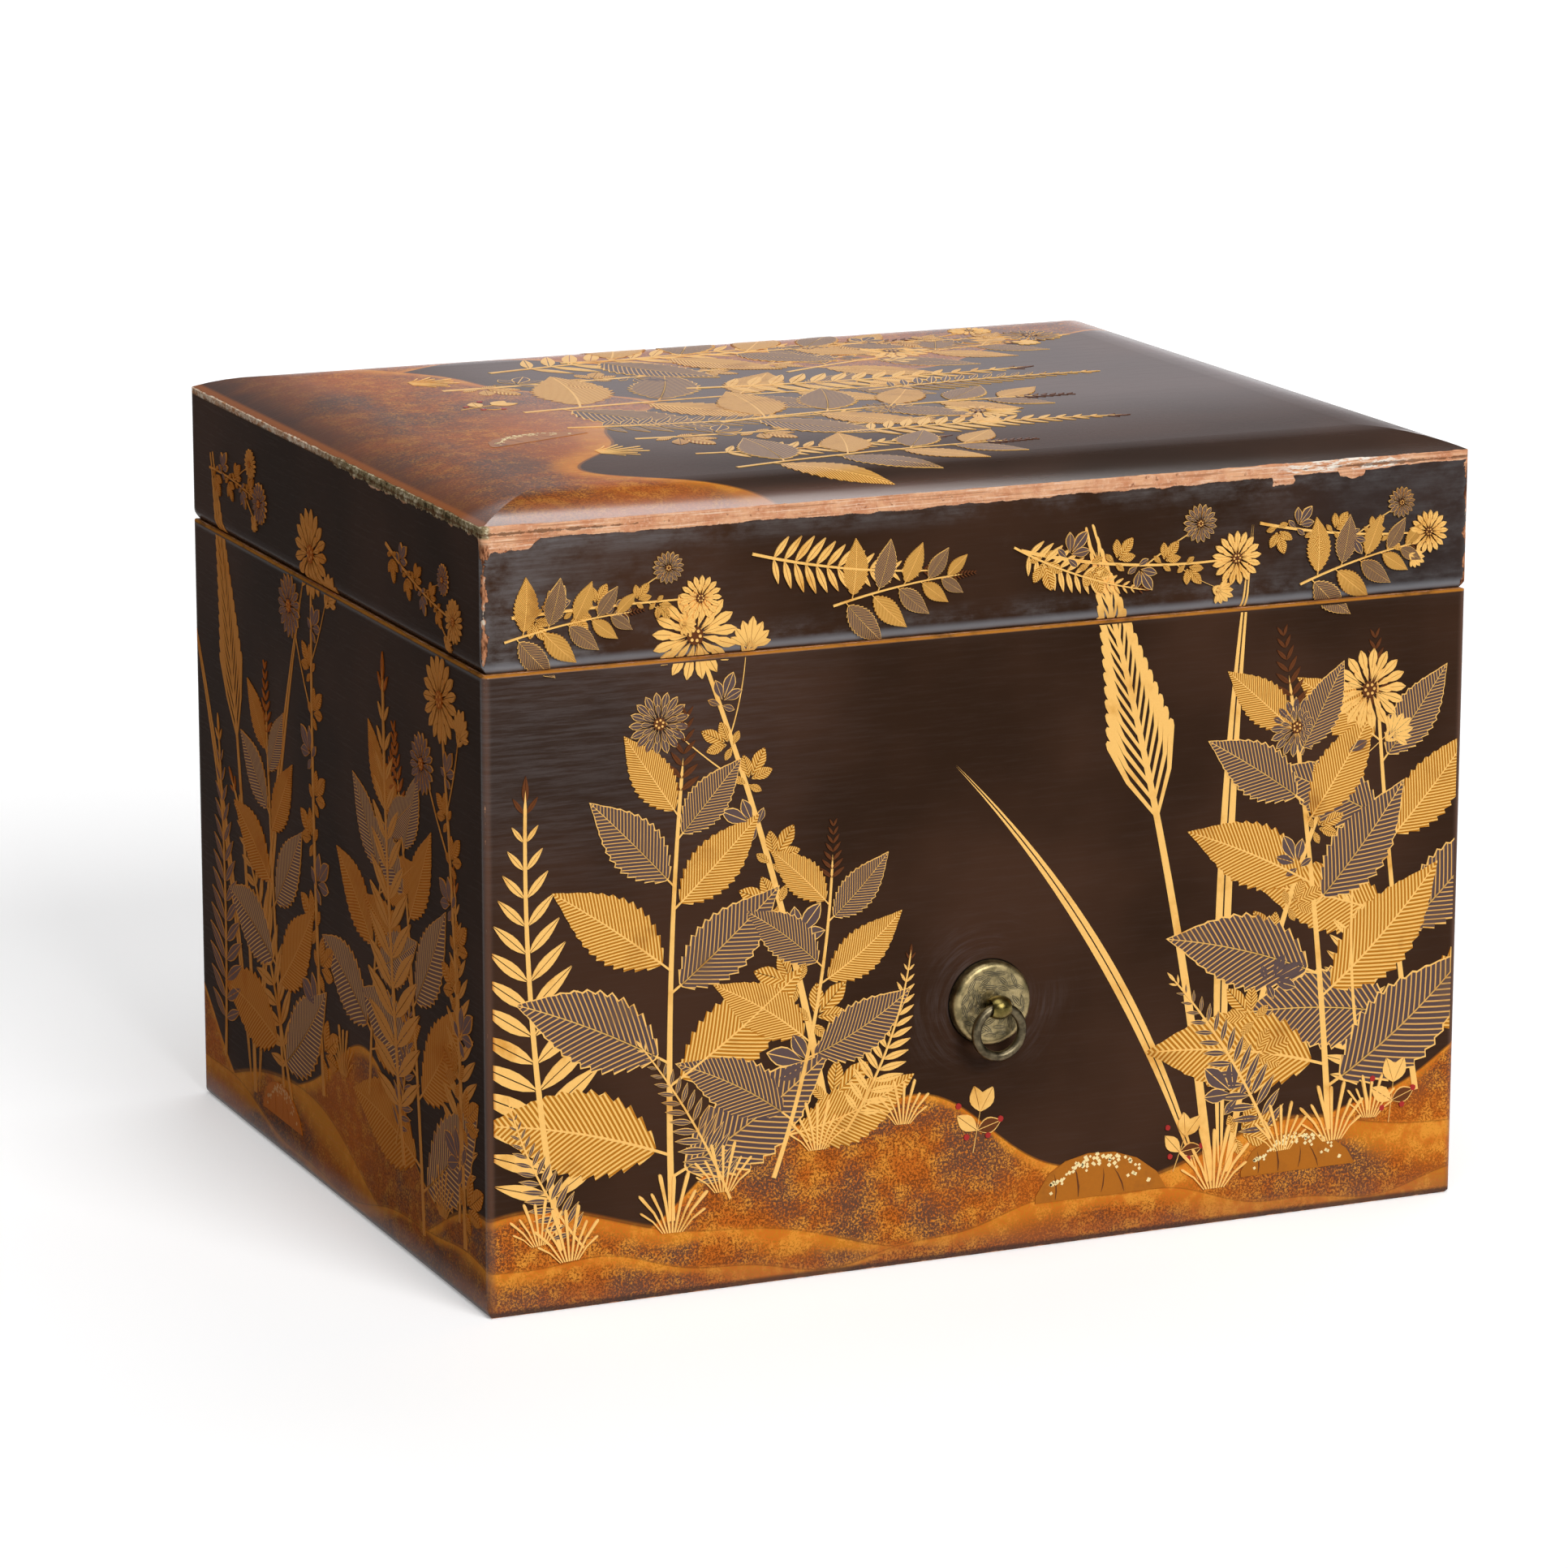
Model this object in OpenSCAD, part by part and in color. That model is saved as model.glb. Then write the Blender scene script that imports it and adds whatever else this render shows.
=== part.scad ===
// Lacquered wooden accessory box with a flush lift-off lid and a pair of cord rings.
// Millimetres, +Z up, origin on the floor under the middle of the box, front along -Y.

/* [Box] */
// Length of the box along its front
box_w = 275; // [200:1:340]
// Depth of the box from front to back
box_d = 224; // [160:1:300]
// Height of the lower box from the floor to its rim
body_h = 165; // [110:1:220]
// Thickness of the lower box's side boards
wall = 7; // [5:0.5:10]
// Thickness of the bottom board
bottom_t = 6; // [4:0.5:9]
// Width of the step in the side boards that the bottom board is glued into
bottom_step = 3.5; // [2:0.5:4]

/* [Lid] */
// Height of the lid's side boards
lid_h = 35; // [24:1:60]
// Upright edge of the top board above the side boards
top_edge_h = 1.6; // [1:0.1:3]
// Rise of the top board from its edge to its flat middle
crown_h = 4.8; // [3:0.1:8]
// Width of the rounded border of the top board
crown_w = 22; // [14:1:32]

/* [Rounded edges] */
// Radius of the upright corners
corner_r = 1.5; // [0.5:0.1:3]
// Depth by which the side boards curve in at the floor
foot_inset = 1.2; // [0.8:0.1:2.4]
// Height over which the side boards curve in to the floor
foot_rise = 2.5; // [2.5:0.5:14]
// Radius of the outer edge of the lower box's rim
rim_r = 1; // [0.5:0.1:2]
// Depth by which the lid's side boards curve in at their lower edge
lid_edge_inset = 1.6; // [0.6:0.1:2.4]
// Height over which the lid's side boards curve in to their lower edge
lid_edge_rise = 4; // [2.5:0.1:6]

/* [Inner lip] */
// Thickness of the lip strips
lip_t = 3; // [2:0.25:5]
// Height of the lip above the rim
lip_rise = 9; // [5:0.5:16]
// Depth of the glued part of the lip below the rim
lip_drop = 14; // [8:0.5:30]
// Radius of the lip's upper outer edge, which guides the lid
lip_edge_r = 1; // [0.5:0.1:1.5]
// Gap on each side between the lip and the lid's side boards
lid_gap = 0.3; // [0.2:0.05:0.6]

/* [Ring fittings] */
// Height of the ring fittings above the floor
fitting_z = 68; // [40:1:90]
// Diameter of the round plate
plate_dia = 22; // [16:0.5:28]
// Thickness of the round plate
plate_t = 3.2; // [2:0.1:4]
// Radius of the plate's rounded shoulder
plate_shoulder_r = 1.6; // [0.6:0.1:1.8]
// Diameter of the round knob about the hole through it
knob_dia = 6.2; // [5.6:0.1:8]
// Width of the knob along that hole
knob_w = 7; // [5.6:0.1:8]
// Radius of the knob's rounded ends
knob_edge_r = 2.2; // [0.8:0.1:2.4]
// Distance from the plate's face to the hole through the knob
knob_reach = 3.5; // [3.2:0.1:6]
// Diameter of the neck under the knob
neck_dia = 4.6; // [3.6:0.1:5]
// Diameter of the split shank that goes through the side board
shank_dia = 3; // [2:0.1:3.4]
// Gap around the shank in the board, plate and washer
shank_gap = 0.1; // [0.05:0.05:0.3]
// Width of the slit between the two halves of the shank
slit_w = 0.4; // [0.2:0.1:0.8]
// Length of a leg of the shank, bent flat inside the box
leg_len = 9; // [6:0.5:14]
// Width of a leg
leg_w = 2.6; // [1.6:0.1:3]
// Thickness of a leg
leg_t = 1.2; // [0.8:0.1:2]
// Diameter of the washer under the legs
washer_dia = 13; // [8:0.5:18]
// Thickness of the washer under the legs
washer_t = 0.8; // [0.5:0.1:1.5]
// Diameter of the ring's wire
wire_dia = 2.5; // [1.5:0.1:2.6]
// Inside diameter of the ring
ring_inner_dia = 10.4; // [9:0.1:16]
// Gap between the ring's wire and the hole through the knob
ring_gap = 0.3; // [0.2:0.05:0.4]

/* [Hidden] */
$fn = 96;
// Overshoot of cutting shapes past the faces that they cut
over = 5;
seam_z = body_h + lid_h;
top_t = top_edge_h + crown_h;
lid_wall = wall - lid_gap;
lip_w = box_w - 2 * wall;
lip_d = box_d - 2 * wall;
lip_h = lip_drop + lip_rise;
crown_r = arc_r(crown_h, crown_w);
knob_r = knob_dia / 2;
shank_r = shank_dia / 2;
shank_hole_r = shank_r + shank_gap;
wire_r = wire_dia / 2;
ring_r = ring_inner_dia / 2 + wire_r;
eye_r = wire_r + ring_gap;
eye_z = plate_t + knob_reach;
leg_z = -wall - washer_t - leg_t;

lacquer = "#2a1c17";
gilt_lacquer = "#b98a3c";
brass = "#8d8355";
bronze = "#6f6a58";

// Curves of the edges as [inset, height], and an edge left sharp
corner = [corner_r, corner_r];
foot_edge = [foot_inset, foot_rise];
rim_edge = [rim_r, rim_r];
lid_edge = [lid_edge_inset, lid_edge_rise];
lip_edge = [lip_edge_r, lip_edge_r];
knob_edge = [knob_edge_r, knob_edge_r];
SHARP = [0, 0];

// Angle about the box's upright axis that brings the front round to a side
function turn_to(side) = side == "front" ? 0 : side == "right" ? 90 : side == "back" ? 180 : 270;

// Radius of the arc that leaves an upright line at a height and is inset by a depth at its foot
function arc_r(inset, height) = (inset * inset + height * height) / (2 * inset);

// What is left outside such an arc, at the origin of the first quadrant: equal values give a quarter round
module spandrel(inset, height) {
    r = arc_r(inset, height);
    difference() {
        translate([-over, -over]) square([inset + over, height + over]);
        translate([r, height]) circle(r);
    }
}

// Outline from x = -w/2 to w/2 and y = 0 to h, with lower and upper corners curved in by [inset, height]
module rounded_outline(w, h, low, high) {
    difference() {
        translate([-w / 2, 0]) square([w, h]);
        for (half = [0, 1]) mirror([half, 0]) {
            if (low != SHARP) translate([-w / 2, 0]) spandrel(low[0], low[1]);
            if (high != SHARP) translate([-w / 2, h]) mirror([0, 1]) spandrel(high[0], high[1]);
        }
    }
}

// Solid block on the floor with rounded upright corners and lower and upper edges curved in
module rounded_block(w, d, h, low, high) {
    intersection() {
        translate([0, -d / 2, 0]) linear_extrude(h) rounded_outline(w, d, corner, corner);
        upright(d + 2 * over) rounded_outline(w, h, low, high);
        rotate([0, 0, 90]) upright(w + 2 * over) rounded_outline(d, h, low, high);
    }
}

// Stands an outline upright and extrudes it by length, centred along Y
module upright(length) {
    translate([0, length / 2, 0]) rotate([90, 0, 0]) linear_extrude(length) children();
}

// Wedge that cuts the mitred board of one side, of thickness t, out of a box of w by d
module mitre_wedge(side, w, d, t, h) {
    long_side = side == "front" || side == "back";
    half = (long_side ? w : d) / 2;
    deep = (long_side ? d : w) / 2;
    rotate([0, 0, turn_to(side)]) translate([0, 0, -over]) linear_extrude(h + 2 * over) polygon([
        [-half - over, -deep - over],
        [half + over, -deep - over],
        [half - t, -deep + t],
        [-half + t, -deep + t]
    ]);
}

module bottom_shape(extra) {
    w = box_w - 2 * (wall - bottom_step);
    d = box_d - 2 * (wall - bottom_step);
    translate([-w / 2, -d / 2, -extra]) cube([w, d, bottom_t + extra]);
}

// Puts a fitting, drawn standing on z = 0, on the front or back face of the box
module on_face(side) {
    rotate([0, 0, turn_to(side)]) translate([0, -box_d / 2, fitting_z]) rotate([90, 0, 0]) children();
}

// Hole for the shank through a thickness behind the face that a fitting stands on
module shank_hole(thickness) {
    translate([0, 0, -thickness - over]) cylinder(thickness + 2 * over, r = shank_hole_r);
}

// One side board of the lower box, stepped for the bottom board and drilled for a ring post
module body_board(side, drilled) {
    color(lacquer) difference() {
        intersection() {
            rounded_block(box_w, box_d, body_h, foot_edge, rim_edge);
            mitre_wedge(side, box_w, box_d, wall, body_h);
        }
        bottom_shape(over);
        if (drilled) on_face(side) shank_hole(wall);
    }
}

module bottom_board() {
    color(lacquer) bottom_shape(0);
}

// One strip of the lip, glued inside the lower box and standing above its rim
module lip_strip(side) {
    color(gilt_lacquer) translate([0, 0, body_h - lip_drop]) intersection() {
        rounded_block(lip_w, lip_d, lip_h, SHARP, lip_edge);
        mitre_wedge(side, lip_w, lip_d, lip_t, lip_h);
    }
}

// One side board of the lid, resting flush on the rim of the lower box
module lid_board(side) {
    color(lacquer) translate([0, 0, body_h]) intersection() {
        rounded_block(box_w, box_d, lid_h, lid_edge, SHARP);
        mitre_wedge(side, box_w, box_d, lid_wall, lid_h);
    }
}

// Upright section of the top board: a flat middle and borders rounded down to a low edge
module crown_outline(w) {
    flat_half = w / 2 - crown_w;
    translate([-flat_half, 0]) square([2 * flat_half, top_t]);
    for (side = [0, 1]) mirror([side, 0]) intersection() {
        translate([flat_half, 0]) square([crown_w, top_t]);
        translate([flat_half, top_t - crown_r]) circle(crown_r, $fn = 360);
    }
}

// Top board, whose rounded borders meet in a short mitre at each corner
module lid_top_board() {
    color(lacquer) translate([0, 0, seam_z]) intersection() {
        translate([0, -box_d / 2, 0]) linear_extrude(top_t) rounded_outline(box_w, box_d, corner, corner);
        upright(box_d + 2 * over) crown_outline(box_w);
        rotate([0, 0, 90]) upright(box_w + 2 * over) crown_outline(box_d);
    }
}

// Round plate with a rounded shoulder
module ring_plate(side) {
    plate_r = plate_dia / 2;
    color(brass) on_face(side) rotate_extrude() difference() {
        translate([shank_hole_r, 0]) square([plate_r - shank_hole_r, plate_t]);
        translate([plate_r, plate_t]) rotate(180) spandrel(plate_shoulder_r, plate_shoulder_r);
    }
}

// Round knob, turned about the axis of the hole through it
module knob() {
    translate([0, 0, eye_z]) rotate([0, 90, 0]) rotate_extrude() translate([0, -knob_w / 2]) intersection() {
        square([knob_r, knob_w]);
        rounded_outline(knob_dia, knob_w, knob_edge, knob_edge);
    }
}

// Hole through the knob, flared at both ends so that the curved wire can swing in it
module knob_eye() {
    translate([0, 0, eye_z]) rotate([0, 90, 0]) rotate_extrude() difference() {
        translate([0, -knob_w / 2]) square([ring_r, knob_w]);
        translate([ring_r, 0]) circle(ring_r - eye_r);
    }
}

// Legs of the split shank, bent apart and flat against the washer
module shank_legs() {
    translate([0, 0, leg_z]) linear_extrude(leg_t) {
        translate([-leg_len, -leg_w / 2]) square([2 * leg_len, leg_w]);
        for (x = [-leg_len, leg_len]) translate([x, 0]) circle(leg_w / 2);
    }
}

// Round-headed split post that holds the plate on the board and the ring in its eye
module ring_post(side) {
    color(brass) on_face(side) difference() {
        union() {
            knob();
            translate([0, 0, plate_t]) cylinder(knob_reach, d = neck_dia);
            translate([0, 0, leg_z]) cylinder(eye_z - leg_z, r = shank_r);
            shank_legs();
        }
        knob_eye();
        translate([-slit_w / 2, -knob_r, leg_z - over]) cube([slit_w, knob_dia, over - leg_z]);
    }
}

module ring_washer(side) {
    color(brass) on_face(side) difference() {
        translate([0, 0, -wall - washer_t]) cylinder(washer_t, d = washer_dia);
        shank_hole(wall + washer_t);
    }
}

// Cord ring, hanging from the eye of its post
module cord_ring(side) {
    color(bronze) on_face(side) translate([0, -ring_r, eye_z]) rotate_extrude()
        translate([ring_r, 0]) circle(wire_r);
}

body_board("front", true);  // body_front_board
body_board("back", true);  // body_back_board
body_board("left", false);  // body_left_board
body_board("right", false);  // body_right_board
bottom_board();
lip_strip("front");  // lip_front_strip
lip_strip("back");  // lip_back_strip
lip_strip("left");  // lip_left_strip
lip_strip("right");  // lip_right_strip
lid_top_board();
lid_board("front");  // lid_front_board
lid_board("back");  // lid_back_board
lid_board("left");  // lid_left_board
lid_board("right");  // lid_right_board
ring_plate("front");  // front_ring_plate
ring_post("front");  // front_ring_post
ring_washer("front");  // front_ring_washer
cord_ring("front");  // front_ring
ring_plate("back");  // back_ring_plate
ring_post("back");  // back_ring_post
ring_washer("back");  // back_ring_washer
cord_ring("back");  // back_ring
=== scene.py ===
"""Looks of a lacquer accessory box: worn lacquer boards, gilded lip, cord rings and raised gold plants."""
import random
from math import cos, pi, radians, sin, sqrt

import bpy
from mathutils import Matrix, Vector


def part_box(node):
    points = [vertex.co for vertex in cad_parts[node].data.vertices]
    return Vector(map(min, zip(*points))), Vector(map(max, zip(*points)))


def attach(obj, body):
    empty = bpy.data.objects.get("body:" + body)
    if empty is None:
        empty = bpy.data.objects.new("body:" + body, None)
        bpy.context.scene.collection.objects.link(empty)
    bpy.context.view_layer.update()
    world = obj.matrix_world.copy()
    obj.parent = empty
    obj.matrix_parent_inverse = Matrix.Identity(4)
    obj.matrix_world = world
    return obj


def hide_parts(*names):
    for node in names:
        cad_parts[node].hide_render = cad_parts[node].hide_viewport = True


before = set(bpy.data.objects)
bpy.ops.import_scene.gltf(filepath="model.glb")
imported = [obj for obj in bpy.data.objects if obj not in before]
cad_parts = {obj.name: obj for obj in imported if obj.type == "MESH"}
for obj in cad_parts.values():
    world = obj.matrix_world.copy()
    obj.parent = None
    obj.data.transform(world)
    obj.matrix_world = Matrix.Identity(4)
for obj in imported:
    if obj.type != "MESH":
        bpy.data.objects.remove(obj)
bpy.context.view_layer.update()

# Lower box: four boards mitred at the corners, and a bottom board let in between them.
# Wood under cloth and clay ground, with many coats of brown-black lacquer polished to a soft gloss.
SIDES = ("front", "back", "left", "right")
half_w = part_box("body_right_board")[1].x
half_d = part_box("body_back_board")[1].y
joint_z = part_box("body_front_board")[1].z
seam_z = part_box("lid_front_board")[1].z
skin = 0.0045
plate_low, plate_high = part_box("front_ring_plate")
plate_r = plate_high.x
fitting_z = (plate_low.z + plate_high.z) / 2


def paint(red, green, blue):
    """A colour as it looks on screen, 0 to 255, as the linear colour that a shader takes."""
    shares = [value / 255 for value in (red, green, blue)]
    return [s / 12.92 if s <= 0.04045 else ((s + 0.055) / 1.055) ** 2.4 for s in shares] + [1.0]


class Field:
    """A value over a surface: one output of a shader node, with arithmetic that adds the nodes for it."""

    def __init__(self, nodes, socket):
        self.nodes = nodes
        self.socket = socket

    def __add__(self, other):
        return self.nodes.math("ADD", self, other)

    def __sub__(self, other):
        return self.nodes.math("SUBTRACT", self, other)

    def __rsub__(self, other):
        return self.nodes.math("SUBTRACT", other, self)

    def __mul__(self, other):
        return self.nodes.math("MULTIPLY", self, other)

    def __truediv__(self, other):
        return self.nodes.math("DIVIDE", self, other)

    def __lt__(self, other):
        return self.nodes.math("LESS_THAN", self, other)

    def __abs__(self):
        return self.nodes.math("ABSOLUTE", self)

    def ease(self, start, end):
        """0 at start, 1 at end, with a smooth step between."""
        ends = {"Value": self, "From Min": start, "From Max": end}
        return self.nodes.add("MapRange", ends, interpolation_type="SMOOTHSTEP")[0]

    def split(self):
        parts = self.nodes.add("SeparateXYZ", {0: self})
        return [parts[axis] for axis in range(3)]

    def noise(self, scale, detail=2.0, roughness=0.5):
        settings = {"Vector": self, "Scale": scale, "Detail": detail, "Roughness": roughness}
        return self.nodes.add("TexNoise", settings)[0]

    def streaks(self, scales, detail, roughness):
        """Noise with a scale of its own along each axis."""
        drawn_out = self.nodes.add("VectorMath", {0: self, 1: scales}, operation="MULTIPLY")[0]
        return drawn_out.noise(1.0, detail, roughness)

    def dots(self, scale, spread, start):
        """1 on scattered round spots, whose sizes run from start up by spread."""
        cells = self.nodes.add("TexVoronoi", {"Vector": self, "Scale": scale})
        return cells["Distance"] < cells["Color"] * spread + start

    def group(self, name, **inputs):
        """A shared node group at this place."""
        return self.nodes.group(name, Vector=self, **inputs)


class Sockets:
    """Sockets of a node by name or number: reading one gives its field, setting one links it or sets it."""

    def __init__(self, nodes, sockets):
        self.nodes = nodes
        self.sockets = sockets

    def __getitem__(self, key):
        return Field(self.nodes, self.sockets[key])

    def __setitem__(self, key, value):
        if isinstance(value, Field):
            self.nodes.tree.links.new(value.socket, self.sockets[key])
        else:
            self.sockets[key].default_value = value


class Nodes:
    """Adds nodes to one shader tree and hands back the sockets or fields that they give."""

    def __init__(self, tree):
        self.tree = tree

    def add(self, kind, inputs=None, **settings):
        made = self.tree.nodes.new("ShaderNode" + kind)
        for name, value in settings.items():
            setattr(made, name, value)
        taken = Sockets(self, made.inputs)
        for socket, value in (inputs or {}).items():
            taken[socket] = value
        return Sockets(self, made.outputs)

    def group(self, name, **inputs):
        return self.add("Group", inputs, node_tree=bpy.data.node_groups[name])

    def math(self, operation, *values):
        return self.add("Math", dict(enumerate(values)), operation=operation)[0]

    def vector(self, x, y, z):
        return self.add("CombineXYZ", {0: x, 1: y, 2: z})[0]


def behind_skin(distance):
    """0 in a board's outer skin, 1 behind it."""
    return distance.ease(skin, skin + 0.0003)


def mix(share, first, second):
    """From the first colour to the second, each a field or (red, green, blue) as on screen."""
    first, second = [paint(*tone) if isinstance(tone, tuple) else tone for tone in (first, second)]
    return share.nodes.add("Mix", {0: share, 6: first, 7: second}, data_type="RGBA")[2]


def largest(first, *others):
    """The largest of several fields."""
    for other in others:
        first = first.nodes.math("MAXIMUM", first, other)
    return first


def new_group(name, inputs, outputs):
    """A shader node group with named sockets: what it is given and what it gives."""
    tree = bpy.data.node_groups.new(name, "ShaderNodeTree")
    for way, sockets in (("INPUT", inputs), ("OUTPUT", outputs)):
        for socket, kind in sockets.items():
            tree.interface.new_socket(socket, in_out=way, socket_type="NodeSocket" + kind)
    nodes = Nodes(tree)
    start = tree.nodes.new("NodeGroupInput")
    end = tree.nodes.new("NodeGroupOutput")
    return Sockets(nodes, start.outputs), Sockets(nodes, end.inputs)


def new_material(name, **constants):
    """A material with one Principled shader: itself, the object coordinates and the shader."""
    material = bpy.data.materials.new(name)
    material.use_nodes = True
    nodes = Nodes(material.node_tree)
    shader = Sockets(nodes, material.node_tree.nodes["Principled BSDF"].inputs)
    for socket, value in constants.items():
        shader[socket.replace("_", " ")] = value
    return material, nodes.add("TexCoord")["Object"], shader


def coat(material, *names):
    """Gives a material to boards or fittings of the frame."""
    for name in names:
        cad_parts[name].material_slots[0].material = material


def bump(shader, height, depth):
    """Feeds a height, in units of depth metres, to the shader's normal."""
    shader["Normal"] = shader.nodes.add("Bump", {"Height": height, "Distance": depth, "Strength": 1.0})[0]


def side_share(distance):
    """1 on the outer face that a distance is measured from, 0 on the others."""
    return distance.ease(0.0025, 0.0015)


# Polished lacquer, rubbed in the direction of the wiping cloth, with cloudy depth, smears and dust specks
given, result = new_group(
    "rubbed_lacquer", {"Vector": "Vector", "Strokes": "Vector"},
    {"Color": "Color", "Roughness": "Float", "Height": "Float", "Streak": "Float"})
place = given["Vector"]
cloud = place.noise(17, 3).ease(0.3, 0.72)
streak = place.streaks(given["Strokes"], 6, 0.74)
scuff = place.noise(46, 8, 0.74).ease(0.64, 0.8)
specks = place.dots(95, 0.03, -0.016)
tone = mix(cloud, (50, 34, 24), (69, 47, 35))
tone = mix(streak.ease(0.44, 0.74) * 0.12 + scuff * 0.22, tone, (84, 70, 64))
result["Color"] = mix(specks, tone, (180, 176, 172))
result["Roughness"] = streak * 0.22 + scuff * 0.15 + 0.15
result["Height"] = streak + specks
result["Streak"] = streak.ease(0.36, 0.66)

# Wear along an edge: 1 where the lacquer has gone, from the distance to the edge and the wear's usual width
given, result = new_group(
    "worn_edge", {"Vector": "Vector", "Distance": "Float", "Width": "Float", "Ragged": "Float"},
    {"Mask": "Float"})
wander = given["Vector"].noise(170, 8, 0.7) * 4.0 - 2.0
reach = given["Width"] * (wander * given["Ragged"] + 1.0)
result["Mask"] = (given["Distance"] - reach).ease(0.00008, -0.00008)

# Bared ground under lost lacquer: sandy clay, finely mottled and pitted
given, result = new_group("bared_ground", {"Vector": "Vector"}, {"Color": "Color", "Height": "Float"})
place = given["Vector"]
grain = place.noise(1300, 4, 0.7)
mottle = place.noise(150, 5, 0.65)
pits = place.noise(620, 4, 0.6).ease(0.64, 0.72)
tone = mix(mottle.ease(0.34, 0.66), (204, 138, 100), (228, 174, 134))
tone = mix(grain.ease(0.48, 0.7) * 0.6, tone, (236, 196, 166))
result["Color"] = mix(pits * 0.7, tone, (134, 80, 54))
result["Height"] = grain - pits

# Sprinkled gold: a bank of gold and copper dust under clear lacquer, with a smooth gold band along its
# crest that thins downwards into single grains; thinner on the lid's top, and thinner on the left end as
# painted shade, which leaves that end darker
given, result = new_group(
    "sprinkled_bank", {"Vector": "Vector", "Depth": "Float", "Crest": "Float"},
    {"Color": "Color", "Mask": "Float"})
place = given["Vector"]
x, y, z = place.split()
drift = place.noise(46, 3)
patch = place.noise(19)
grains = place.noise(1500, 2, 0.85)
clumps = place.noise(210, 3, 0.6)
below = (drift - 0.5) * given["Crest"] + given["Depth"]
crest_reach = given["Crest"] * (patch.ease(0.36, 0.62) * 0.8 + 0.25)
crest = (below / crest_reach).ease(1.5, 0.15)
base = mix(drift.ease(0.4, 0.6), (100, 68, 52), (124, 66, 26))
base = mix(patch.ease(0.45, 0.68), base, (158, 82, 26))
base = mix(crest, base, (200, 126, 36))
density = drift * 0.34 + clumps * 0.16 - 0.25 + crest * 0.06
on_top = z.ease(seam_z, seam_z + 0.001)
# painted shade: fewer gold grains on the left end, so that end reads darker
thickness = side_share(x + half_w) * -0.4 + on_top * -0.35 + 0.9
sown = (grains + density).ease(0.46, 0.58) * thickness
dust = mix(clumps.ease(0.4, 0.66), (206, 110, 36), (228, 150, 56))
tone = mix(sown, base, dust)
left_border = on_top * (x + half_w).ease(0.04, 0.004)
rearward = y.ease(-0.07, 0.08) * 0.45 + 0.3
tone = mix(left_border * rearward, tone, (50, 31, 22))
crest_line = abs(given["Depth"] - 0.0001).ease(0.0003, 0.00012)
result["Color"] = mix(crest_line * 0.45, tone, (62, 36, 20))
soft = given["Crest"] * 0.12
result["Mask"] = given["Depth"].ease(soft * -1.0, soft)

# Gold flakes floating in the lacquer of the inside
given, result = new_group("flecked_inside", {"Vector": "Vector"}, {"Color": "Color"})
place = given["Vector"]
tone = mix(place.noise(30, 3).ease(0.3, 0.7), (40, 25, 19), (58, 33, 22))
result["Color"] = mix(place.dots(1300, 0.5, -0.12), tone, (176, 116, 46))


def wave_height(place, base, waves):
    """A rolling height over the plan: base plus waves of (height, length along x, along y, turn)."""
    x, y, z = place.split()
    total = base
    for height, length_x, length_y, turn in waves:
        along = x * (radians(360) / length_x) + y * (radians(360) / length_y) + radians(turn)
        total = place.nodes.math("SINE", along) * height + total
    return total


def lay_banks(place, banks, tone):
    """Lays one sprinkled bank over another, each by its depth below its crest and its crest's breadth."""
    for depth, crest in banks:
        bank = place.group("sprinkled_bank", Depth=depth, Crest=crest)
        tone = mix(bank["Mask"], tone, bank["Color"])
    return tone


def worn_edge(place, distance, width, ragged):
    """1 where the lacquer has gone along an edge."""
    return place.group("worn_edge", Distance=distance, Width=width, Ragged=ragged)["Mask"]


def edge_distances(place):
    """Distances in from the plan's sides: to the farther side of the corner, and to the nearer side."""
    x, y, z = place.split()
    to_end = half_w - abs(x)
    to_face = half_d - abs(y)
    return largest(to_end, to_face), place.nodes.math("MINIMUM", to_end, to_face)


def from_axis(x, z):
    """Distance from the middle of the ring fittings, seen from the front."""
    flat = x.nodes.vector(x, z - fitting_z, 0.0)
    return x.nodes.add("VectorMath", {0: flat}, operation="LENGTH")["Value"]


def finish_lacquer(shader, film, ground, tone, worn, polish):
    """Lays the bared ground over the lacquer where it has worn away, and feeds the shader. Polish is the
    gloss that handling and the rounded edges have kept, over fields rubbed dull."""
    shader["Base Color"] = mix(worn, tone, ground["Color"])
    shader["Coat Weight"] = polish - worn
    shader["Roughness"] = worn * 0.5 + film["Roughness"]
    sunk = worn * (ground["Height"] * 0.3 - 1.0)
    bump(shader, film["Height"] * 0.02 + sunk, 0.0002)


side_strokes = (60, 60, 1000)
lacquer_shine = {"Specular_IOR_Level": 0.002, "Coat_Roughness": 0.17, "Coat_IOR": 1.5}
body_lacquer, place, shader = new_material("body_lacquer", **lacquer_shine)
x, y, z = place.split()
corner, nearest = edge_distances(place)
film = place.group("rubbed_lacquer", Strokes=side_strokes)
ground = place.group("bared_ground")
crests = [wave_height(place, 0.028, [(0.017, 0.19, 0.17, 33), (0.003, 0.055, 0.07, 40)]),
          wave_height(place, 0.016, [(0.009, 0.23, -0.15, 25), (0.002, 0.07, 0.09, 100)]),
          wave_height(place, 0.008, [(0.005, 0.15, 0.2, 220), (0.001, 0.04, -0.06, 0)])]
banks = [(crest - z, breadth) for crest, breadth in zip(crests, (0.003, 0.009, 0.006))]
tone = lay_banks(place, banks, film["Color"])
inside = behind_skin(nearest) * behind_skin(z)
underside = z.ease(0.0008, 0.0003) * nearest.ease(0.003, 0.006)
tone = mix(underside, tone, film["Color"])
tone = mix(inside, tone, place.group("flecked_inside")["Color"])
tone = mix(corner.ease(0.0022, 0.0006) * 0.4, tone, (112, 66, 36))
foot = z.ease(0.012, 0.002) * nearest.ease(0.006, 0.003)
tone = mix(foot * 0.35, tone, (104, 58, 36))
# painted shade: darker along the lowest 2 mm of the sides, where they meet the floor
tone = mix(z.ease(0.0024, 0.0012) * 0.8, tone, (64, 40, 30))
from_plate = from_axis(x, z) - plate_r
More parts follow.
